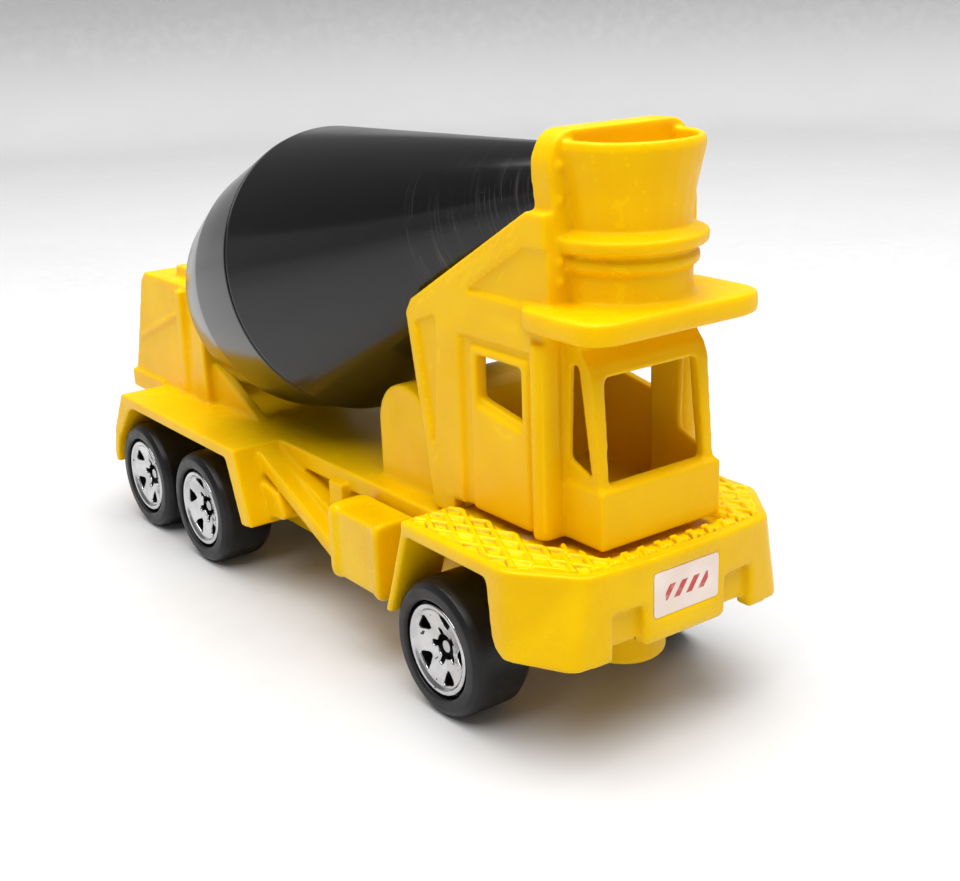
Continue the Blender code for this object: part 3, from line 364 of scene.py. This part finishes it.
def label_surface():
    """Pale printed paper with a band of slanted red bars."""
    s = Surface("printed_label", 0.45)
    low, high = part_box("front_label")
    middle = (low + high) / 2
    x, _, z = s.axes()
    across = s.math("SUBTRACT", x, middle.x)
    rise = s.math("SUBTRACT", z, middle.z)
    bar_pitch = 0.62 * MM
    slanted = s.math("DIVIDE", s.math("ADD", across, s.math("MULTIPLY", rise, -0.7)), bar_pitch)
    bars = s.steps(s.math("PINGPONG", slanted, 1.0), 0.45, 0.55)
    band = s.steps(s.math("ABSOLUTE", rise), 0.62 * MM, 0.57 * MM)
    reach = s.steps(s.math("ABSOLUTE", across), 2.2 * MM, 2.15 * MM)
    mark = s.math("MULTIPLY", s.math("MULTIPLY", bars, band), reach)
    fade = s.steps(s.noise(1500.0, 3.0), 0.2, 0.5, 0.6, 0.95)
    drift = s.steps(s.noise(260.0, 4.0), 0.35, 0.7)
    paper = s.blend(drift, (0.80, 0.66, 0.57), (0.88, 0.76, 0.68))
    color = s.blend(s.math("MULTIPLY", mark, fade), paper, (0.50, 0.018, 0.012))
    s.drive("Base Color", color)
    s.drive("Roughness", s.steps(s.noise(900.0, 3.0), 0.3, 0.7, 0.34, 0.5))
    s.bump(s.noise(4000.0, 4.0), 0.00001, 0.5)
    return s.material


def floor_surface():
    """White card, with painted shade that darkens it up the sweep."""
    s = Surface("studio_card", 0.6)
    _, _, z = s.axes()
    # painted shade: the card is coloured darker as it rises up the sweep
    rise = s.steps(z, 0.0, 0.05)
    drift = s.steps(s.noise(40.0, 3.0), 0.3, 0.7)
    card = s.blend(drift, (0.63, 0.63, 0.635), (0.645, 0.645, 0.645))
    s.drive("Base Color", s.blend(rise, card, (0.36, 0.36, 0.36)))
    s.drive("Roughness", s.steps(s.noise(300.0, 2.0), 0.3, 0.7, 0.5, 0.65))
    return s.material


# ---------------------------------------------------------------- mesh helpers

def add_piece(name, mesh, body, slot, surface, *nodes):
    """Put a finished mesh in the scene as a piece that rides on a body."""
    result = bpy.data.objects.new(name, mesh)
    bpy.context.scene.collection.objects.link(result)
    mesh.name = name
    mesh.materials.clear()
    mesh.materials.append(surface)
    mesh.shade_smooth()
    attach(result, body)
    if nodes:
        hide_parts(*nodes)
    return result


def modified(mesh, kind, **settings):
    """A mesh after one modifier."""
    work = bpy.data.objects.new("work", mesh)
    bpy.context.scene.collection.objects.link(work)
    modifier = work.modifiers.new("step", kind)
    for name, value in settings.items():
        setattr(modifier, name, value)
    depsgraph = bpy.context.evaluated_depsgraph_get()
    result = bpy.data.meshes.new_from_object(work.evaluated_get(depsgraph))
    bpy.data.objects.remove(work)
    return result


def points_of(mesh):
    """The mesh's points as an array with a row for each."""
    points = np.empty(len(mesh.vertices) * 3)
    mesh.vertices.foreach_get("co", points)
    return points.reshape(-1, 3)


def set_points(mesh, points):
    """Put an array of points back into the mesh."""
    mesh.vertices.foreach_set("co", points.astype(np.float32).ravel())
    mesh.update()


def relaxed(mesh, rounds, weight=None):
    """Move each point towards its neighbours' middle, round after round."""
    points = points_of(mesh)
    edges = np.empty(len(mesh.edges) * 2, dtype=np.int64)
    mesh.edges.foreach_get("vertices", edges)
    first, second = edges.reshape(-1, 2).T
    size = len(points)
    count = np.bincount(edges, minlength=size)[:, None]
    share = 0.5 if weight is None else 0.5 * weight(points)[:, None]
    for _ in range(rounds):
        total = np.stack([
            np.bincount(first, points[second, k], size)
            + np.bincount(second, points[first, k], size)
            for k in range(3)], axis=1)
        points = points + share * (total / count - points)
    set_points(mesh, points)
    return mesh


def dome(place, radius, flat=(1, 1, 1)):
    """A small ball at a place, squashed by flat, as a bmesh in millimetres."""
    bm = bmesh.new()
    stand = Matrix.Translation(place) @ Matrix.Diagonal((*flat, 1.0))
    bmesh.ops.create_icosphere(bm, subdivisions=2, radius=radius, matrix=stand)
    return bm


def moulded(node, voxel, rounds, extras=(), softer=None):
    """A CAD node's shape and its extras as one skin with rounded edges, in millimetres."""
    bm = bmesh.new()
    bm.from_mesh(frame["nodes"][node].data)
    bmesh.ops.scale(bm, vec=(1 / MM, 1 / MM, 1 / MM), verts=bm.verts)
    for extra in extras:
        joined = bpy.data.meshes.new("extra")
        extra.to_mesh(joined)
        extra.free()
        bm.from_mesh(joined)
    mesh = bpy.data.meshes.new(node)
    bm.to_mesh(mesh)
    bm.free()
    skin = modified(mesh, "REMESH", mode="VOXEL", voxel_size=voxel)
    relaxed(skin, rounds)
    if softer:
        relaxed(skin, rounds * 4, softer)
    return skin


def to_metres(mesh, most_triangles=180_000):
    """Thin a millimetre mesh where it is flat, and scale it to metres."""
    triangles = len(mesh.polygons) * 2
    if triangles > most_triangles:
        mesh = modified(mesh, "DECIMATE", ratio=most_triangles / triangles)
    mesh.transform(Matrix.Scale(MM, 4))
    return mesh


def y_of(station):
    """A station in millimetres back from the bumper's front, as y in millimetres."""
    return FRONT_Y / MM + station


def softened(profile, reach, steps=3):
    """Round the corners of an open (radius, height) profile, its two ends kept."""
    result = [profile[0]]
    for before, corner, after in zip(profile, profile[1:], profile[2:]):
        back = Vector(before) - Vector(corner)
        ahead = Vector(after) - Vector(corner)
        near = Vector(corner) + back.normalized() * min(reach, back.length * 0.4)
        far = Vector(corner) + ahead.normalized() * min(reach, ahead.length * 0.4)
        for step in range(steps + 1):
            t = step / steps
            point = near * (1 - t) ** 2 + Vector(corner) * 2 * t * (1 - t) + far * t ** 2
            result.append((point.x, point.y))
    return result + [profile[-1]]


def lathe(profile, steps):
    """Spin a (radius, height) profile that starts and ends on the axis about Z."""
    bm = bmesh.new()
    rings = []
    for radius, height in profile:
        if radius < 1e-6:
            rings.append([bm.verts.new((0, 0, height))])
            continue
        angles = [math.tau * step / steps for step in range(steps)]
        rings.append([
            bm.verts.new((radius * math.cos(a), radius * math.sin(a), height)) for a in angles])
    for low, high in zip(rings, rings[1:]):
        for step in range(steps):
            after = (step + 1) % steps
            corners = [low[step % len(low)], low[after % len(low)],
                       high[after % len(high)], high[step % len(high)]]
            kept = list(dict.fromkeys(corners))
            if len(kept) > 2:
                bm.faces.new(kept)
    bmesh.ops.recalc_face_normals(bm, faces=bm.faces)
    mesh = bpy.data.meshes.new("lathe")
    bm.to_mesh(mesh)
    bm.free()
    return mesh


# ---------------------------------------------------------------- casting

def box_distance(x, station, half_width, start, end):
    """Distance outside a box that is centred on x = 0; negative inside it."""
    dx = np.abs(x) - half_width
    ds = np.maximum(start - station, station - end)
    outside = np.hypot(np.maximum(dx, 0), np.maximum(ds, 0))
    return outside + np.minimum(np.maximum(dx, ds), 0)


def cab_distance(x, station):
    """Distance from the cab's foot on the deck."""
    pod = box_distance(x, station, POD_HALF_WIDTH, POD_FRONT, PANEL_FRONT + 2)
    panels = box_distance(x, station, PANEL_HALF_WIDTH, PANEL_FRONT, PANEL_END)
    return np.minimum(pod, panels)


def deck_inset(x, station):
    """Distance in from the deck's outline."""
    wide = np.abs(x)
    run = np.hypot(HALF_WIDTH - BUMPER_CORNER_X, CHAMFER_END - BUMPER_BOW)
    chamfer = ((station - BUMPER_BOW) * (HALF_WIDTH - BUMPER_CORNER_X)
               - (wide - BUMPER_CORNER_X) * (CHAMFER_END - BUMPER_BOW)) / run
    front = station - BUMPER_BOW * (wide / BUMPER_CORNER_X) ** 2
    return np.minimum.reduce([HALF_WIDTH - wide, DECK_END - station, front, chamfer])


def bumper_casting(surface):
    """The painted base, with the shallow seat that the cab stands in."""
    skin = moulded("chassis_base", *CASTING_SKIN)
    points = points_of(skin)
    on_deck = smoothstep(DECK_TOP - 0.5, DECK_TOP - 0.2, points[:, 2])
    seat = smoothstep(0.5, 0.3, cab_distance(points[:, 0], points[:, 1] - y_of(0)))
    points[:, 2] -= SEAT_DEPTH * on_deck * seat
    set_points(skin, points)
    add_piece("painted_casting", to_metres(skin), "root", "yellow_paint", surface, "chassis_base")


def tread_lift(x, station):
    """Height of the lattice of ridges, and how much painted shade lies beside them."""
    phase = np.where(station < TREAD_JOINT, 0.3, 0.0)
    pitch = 1.0 / math.hypot(1 / TREAD_WIDTH, 1 / TREAD_LENGTH)
    nearest = []
    for lean in (1, -1):
        turns = x / TREAD_WIDTH + lean * station / TREAD_LENGTH + phase
        nearest.append(np.abs(turns - np.round(turns)) * pitch)
    distance = np.minimum(*nearest)
    ridge = smoothstep(0.32, 0.1, distance)
    ridge_shade = smoothstep(0.16, 0.27, distance) * smoothstep(0.42, 0.3, distance)
    return ridge, ridge_shade


def tread_plate(surface):
    """The raised diamond pattern, a thin skin that sinks into the deck round its edge."""
    count = int(2 * HALF_WIDTH / TREAD_GRID)
    shares = np.linspace(-1, 1, count)
    stations = np.arange(BUMPER_BOW + 0.3, DECK_END - 0.2, TREAD_GRID)
    share, station = np.meshgrid(shares, stations, indexing="ij")
    widening = (HALF_WIDTH - BUMPER_CORNER_X) / (CHAMFER_END - BUMPER_BOW)
    reach = np.minimum(BUMPER_CORNER_X + (station - BUMPER_BOW) * widening, HALF_WIDTH) - 0.4
    x = share * reach
    ridge, ridge_shade = tread_lift(x, station)
    shown = smoothstep(TREAD_BORDER - 0.15, TREAD_BORDER + 0.1, deck_inset(x, station))
    shown *= smoothstep(0.5, 0.68, cab_distance(x, station))
    joint = smoothstep(0.1, 0.24, np.abs(station - TREAD_JOINT))
    sunk = DECK_TOP - 0.7
    top = sunk + (DECK_TOP + 0.02 - sunk) * shown + TREAD_RIDGE * ridge * shown * joint
    columns, rows = x.shape
    skin = np.stack([x, station + y_of(0), top], axis=2).reshape(-1, 3)
    under = skin.copy()
    under[:, 2] = sunk - 0.15
    index = np.arange(columns * rows).reshape(columns, rows)
    quads = np.stack([index[:-1, :-1], index[1:, :-1], index[1:, 1:], index[:-1, 1:]], axis=2)
    quads = quads.reshape(-1, 4)
    rim = np.concatenate([index[:, 0], index[-1, 1:], index[-2::-1, -1], index[0, -2:0:-1]])
    after = np.roll(rim, -1)
    count = columns * rows
    walls = np.stack([rim, rim + count, after + count, after], axis=1)
    faces = np.concatenate([quads, quads[:, ::-1] + count, walls])
    mesh = bpy.data.meshes.new("tread_plate")
    mesh.from_pydata(np.concatenate([skin, under]).tolist(), [], faces.tolist())
    # painted shade beside the ridges, kept on each point for the tread's material
    ridge_shade_layer = mesh.attributes.new("ridge_shade", "FLOAT", "POINT")
    ridge_shade_layer.data.foreach_set("value", np.tile((ridge_shade * shown).ravel(), 2).astype(np.float32))
    mesh.transform(Matrix.Scale(MM, 4))
    add_piece("tread_plate", mesh, "root", "yellow_paint", surface)


# ---------------------------------------------------------------- mouldings

def plate_bolts():
    """Small bolt heads down each edge of the hopper's back plate, and one on each side of it."""
    bolts = []
    for side in (-1, 1):
        for height in BOLT_HEIGHTS:
            bolts.append(dome((side * 6.0, y_of(PANEL_FRONT), height), BOLT_RADIUS, (1, 0.8, 1)))
        bolts.append(dome((side * 6.5, y_of(PANEL_FRONT + 1.2), 38.4), BOLT_RADIUS, (0.9, 1, 1)))
    return bolts


def visor_softness(points):
    """Extra rounding for the visor's edge."""
    station = points[:, 1] - y_of(0)
    height = smoothstep(31.3, 31.8, points[:, 2]) * smoothstep(34.4, 33.9, points[:, 2])
    outside = np.maximum(smoothstep(6.4, 5.6, station), smoothstep(7.5, 7.7, np.abs(points[:, 0])))
    return height * outside


def plastic_mouldings(surface):
    """The cab with its bolts and soft visor, the bed and the post."""
    cab = moulded("cab_body", *CAB_SKIN, plate_bolts(), visor_softness)
    bed = moulded("mixer_bed", *BED_SKIN)
    post = moulded("front_post", *POST_SKIN)
    for name, skin, node in (("cab_moulding", cab, "cab_body"), ("bed_moulding", bed, "mixer_bed"),
                             ("post_moulding", post, "front_post")):
        add_piece(name, to_metres(skin), "root", "yellow_plastic", surface, node)


# ---------------------------------------------------------------- drum

def drum_shells(surface):
    """Both halves of the drum, finely turned, with a seam line and softened creases."""
    stand = Vector(DRUM_JOINT["axis"]).to_track_quat("Z", "Y").to_matrix().to_4x4()
    place = Matrix.Translation(Vector(DRUM_JOINT["pos_m"])) @ stand @ Matrix.Scale(MM, 4)
    front = softened([
        (0.0, 33.6), (2.4, 33.6), (DRUM_RADIUS - 1.1, DRUM_SEAM), (DRUM_RADIUS - 0.1, DRUM_SEAM),
        (DRUM_RADIUS, DRUM_SEAM + 0.12), (3.6, 34.7), (3.2, 35.0), (1.3, 35.0), (1.3, 38.3),
        (0.0, 38.3),
    ], 0.25)
    rear = softened([
        (0.0, -20.9), (1.3, -20.9), (1.3, -16.9), (5.9, -16.6), (9.6, -15.9), (10.7, -15.2),
        (12.3, -8.9), (DRUM_RADIUS, -DRUM_SEAM - 0.12), (DRUM_RADIUS - 0.1, -DRUM_SEAM),
        (DRUM_RADIUS - 1.1, -DRUM_SEAM), (11.3, -8.9), (9.5, -14.7), (0.0, -15.3),
    ], 0.25)
    for name, profile, node in (("drum_front_shell", front, "drum_cone"),
                                ("drum_rear_shell", rear, "drum_rear")):
        mesh = lathe(profile, 192)
        mesh.transform(place)
        shell = add_piece(name, mesh, "drum", "drum_plastic", surface, node)
        shell.data.set_sharp_from_angle(angle=math.radians(50))


# ---------------------------------------------------------------- wheels

def wheel_mesh():
    """The black wheel about Z, its outer face at z = 0, dished to a dark hub."""
    lip = FACE_RADIUS + 0.28
    wall = WHEEL_RADIUS - 0.2
    profile = softened([
        (0.0, -1.55), (0.55, -1.55), (0.7, -1.7), (0.7, -2.1), (1.6, -2.1), (2.8, -1.4),
        (lip, -0.95), (lip, -0.12), (lip + 0.22, 0.0), (wall - 0.45, 0.0), (wall, -0.3),
        (WHEEL_RADIUS, -0.85), (WHEEL_RADIUS, 0.8 - WHEEL_WIDTH), (wall - 0.3, -WHEEL_WIDTH),
        (2.4, -WHEEL_WIDTH), (2.1, 0.8 - WHEEL_WIDTH), (0.8, 0.8 - WHEEL_WIDTH), (0.8, -1.8),
        (0.0, -1.8),
    ], 0.12)
    mesh = lathe(profile, 128)
    mesh.transform(Matrix.Scale(MM, 4))
    return mesh


def outline_prism(outline, depth):
    """A tall prism over an outline in millimetres, as a bmesh."""
    bm = bmesh.new()
    base = bm.faces.new([bm.verts.new((a, b, -depth)) for a, b in outline])
    moved = bmesh.ops.extrude_face_region(bm, geom=[base])["geom"]
    top = [part for part in moved if isinstance(part, bmesh.types.BMVert)]
    bmesh.ops.translate(bm, vec=(0, 0, 2 * depth), verts=top)
    bmesh.ops.recalc_face_normals(bm, faces=bm.faces)
    return bm


def polar(radius, degrees):
    """A point at a radius and an angle, as (x, y)."""
    return (radius * math.cos(math.radians(degrees)), radius * math.sin(math.radians(degrees)))


def closed_round(outline, reach):
    """Round every corner of a closed outline."""
    looped = softened([outline[-1], *outline, outline[0]], reach)
    return looped[1:-1]


def face_outlines():
    """The windows between the spokes, the notches round the hub, and the hub's own hole."""
    outlines = []
    for index in range(SPOKES):
        turn = 360.0 * index / SPOKES
        window = [polar(3.16, turn + 19), polar(3.16, turn - 16), polar(1.72, turn - 4)]
        notch = [polar(0.3, turn + 66), polar(1.62, turn + 46), polar(1.62, turn + 26),
                 polar(0.3, turn + 6)]
        outlines += [closed_round(window, 0.5), closed_round(notch, 0.3)]
    return outlines + [[polar(FACE_HUB_RADIUS, step * 12) for step in range(30)]]


def face_mesh():
    """The dished five-spoke face about Z with windows near the rim and a notched hub hole."""
    front = [(FACE_RADIUS, -0.42), (FACE_RADIUS, -0.22), (3.62, -0.12), (3.42, -0.18),
             (3.2, -0.42), (2.4, -0.62), (1.6, -0.86), (1.1, -1.0)]
    back = [(1.1, -1.0 - FACE_THICKNESS), (2.4, -0.62 - FACE_THICKNESS),
            (FACE_RADIUS, -0.42 - FACE_THICKNESS * 0.6)]
    body = lathe([(0.0, -1.0)] + front[::-1] + back[::-1] + [(0.0, -1.0 - FACE_THICKNESS)], 96)
    cutter = bmesh.new()
    for outline in face_outlines():
        prism = outline_prism(outline, CUTTER_DEPTH)
        joined = bpy.data.meshes.new("tool")
        prism.to_mesh(joined)
        prism.free()
        cutter.from_mesh(joined)
    tools = bpy.data.meshes.new("tools")
    cutter.to_mesh(tools)
    cutter.free()
    tool_object = bpy.data.objects.new("tools", tools)
    bpy.context.scene.collection.objects.link(tool_object)
    cut = modified(body, "BOOLEAN", operation="DIFFERENCE", solver="EXACT", use_self=True,
                   object=tool_object)
    bpy.data.objects.remove(tool_object)
    voxel, rounds = FACE_SKIN
    skin = modified(cut, "REMESH", mode="VOXEL", voxel_size=voxel)
    relaxed(skin, rounds)
    return to_metres(skin, 40_000)


def wheels(plastic, foil):
    """Six wheels with their faces; each face is turned as it happened to stop."""
    wheel = wheel_mesh()
    face = face_mesh()
    for axle, turn in WHEEL_TURNS.items():
        for side, word in ((-1, "right"), (1, "left")):
            place = axle + "_" + word
            low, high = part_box("wheel_" + place)
            centre = (low + high) / 2
            outer = high.x if side > 0 else low.x
            stand = (Matrix.Translation((outer, centre.y, centre.z))
                     @ Matrix.Rotation(side * math.pi / 2, 4, "Y"))
            spin = Matrix.Rotation(math.radians(90.0 + side * turn), 4, "Z")
            for name, mesh, slot, surface, node in (
                    ("tyre_", wheel, "black_plastic", plastic, "wheel_"),
                    ("bright_face_", face, "bright_foil", foil, "wheel_face_")):
                copy = mesh.copy()
                copy.transform(stand @ spin)
                add_piece(name + place, copy, "wheel_" + place + "_body", slot, surface,
                          node + place)


# ---------------------------------------------------------------- small parts

def label(surface):
    """The label as a thin sheet with rounded corners."""
    low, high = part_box("front_label")
    corners = [(low.x, low.z), (high.x, low.z), (high.x, high.z), (low.x, high.z)]
    outline = closed_round([(x / MM, z / MM) for x, z in corners], LABEL_ROUNDING)
    bm = outline_prism(outline, LABEL_HALF_THICKNESS)
    mesh = bpy.data.meshes.new("label")
    bm.to_mesh(mesh)
    bm.free()
    swap = Matrix(((1, 0, 0, 0), (0, 0, 1, 0), (0, 1, 0, 0), (0, 0, 0, 1)))
    middle = Matrix.Translation((0, (low.y + high.y) / 2, 0))
    mesh.transform(middle @ Matrix.Scale(MM, 4) @ swap)
    mesh.flip_normals()
    piece = add_piece("bumper_label", mesh, "root", "label_paper", surface, "front_label")
    piece.data.set_sharp_from_angle(angle=math.radians(40))


def dress_plain_nodes(steel):
    """The CAD nodes that stay as they are get the steel surface."""
    for name in ("axle_front", "axle_middle", "axle_rear", "rivet_front", "rivet_rear"):
        mesh = frame["nodes"][name].data
        mesh.materials.clear()
        mesh.materials.append(steel)


# ---------------------------------------------------------------- studio

def studio_floor(card):
    """Pale floor that sweeps up all round."""
    flat = FLOOR_REACH - FLOOR_SWEEP
    profile = [(0.0, 0.0), (flat, 0.0)]
    for step in range(1, 9):
        angle = math.pi / 2 * step / 8
        profile.append((flat + FLOOR_SWEEP * math.sin(angle),
                        FLOOR_SWEEP - FLOOR_SWEEP * math.cos(angle)))
    profile.append((FLOOR_REACH, FLOOR_WALL))
    mesh = lathe(profile + [(0.0, FLOOR_WALL)], 96)
    bm = bmesh.new()
    bm.from_mesh(mesh)
    lid = [face for face in bm.faces if face.calc_center_median().z > FLOOR_WALL - 1e-6]
    bmesh.ops.delete(bm, geom=lid, context="FACES")
    bmesh.ops.reverse_faces(bm, faces=bm.faces)
    bm.to_mesh(mesh)
    bm.free()
    mesh.materials.append(card)
    mesh.shade_smooth()
    floor = bpy.data.objects.new("floor", mesh)
    bpy.context.scene.collection.objects.link(floor)


def studio_light():
    """One broad light overhead, and a little even light from all round."""
    data = bpy.data.lights.new("overhead", "AREA")
    data.shape = "RECTANGLE"
    data.size = data.size_y = LIGHT_SIZE
    data.energy = LIGHT_POWER
    lamp = bpy.data.objects.new("overhead", data)
    lamp.location = LIGHT_PLACE
    aim = Vector(LIGHT_PLACE) - Vector(LIGHT_TARGET)
    lamp.rotation_euler = aim.to_track_quat("Z", "Y").to_euler()
    bpy.context.scene.collection.objects.link(lamp)
    world = bpy.data.worlds.new("studio_air")
    world.use_nodes = True
    background = world.node_tree.nodes["Background"]
    background.inputs["Color"].default_value = (1.0, 1.0, 1.0, 1.0)
    background.inputs["Strength"].default_value = AIR_STRENGTH
    bpy.context.scene.world = world
    bpy.context.scene.view_settings.view_transform = "Standard"


def camera():
    """The camera at the photo's angle."""
    azimuth, elevation, roll = (
        math.radians(angle) for angle in (CAMERA_AZIMUTH, CAMERA_ELEVATION, CAMERA_ROLL))
    stand = (Matrix.Rotation(azimuth, 4, "Z") @ Matrix.Rotation(math.pi / 2 - elevation, 4, "X")
             @ Matrix.Rotation(roll, 4, "Z"))
    data = bpy.data.cameras.new("camera")
    data.lens = CAMERA_LENS
    data.sensor_width = 36.0
    data.shift_x = CAMERA_SHIFT
    data.clip_start = 0.005
    data.clip_end = 5.0
    result = bpy.data.objects.new("camera", data)
    result.matrix_world = Matrix.Translation(Vector(CAMERA_PLACE) * MM) @ stand
    bpy.context.scene.collection.objects.link(result)
    bpy.context.scene.camera = result


def main():
    """Every piece of the toy, then the studio and the camera."""
    plastic = plastic_surface()
    bumper_casting(paint_surface())
    tread_plate(tread_surface())
    plastic_mouldings(plastic)
    drum_shells(drum_surface())
    wheels(wheel_surface(), foil_surface())
    label(label_surface())
    dress_plain_nodes(steel_surface())
    studio_floor(floor_surface())
    studio_light()
    camera()


main()
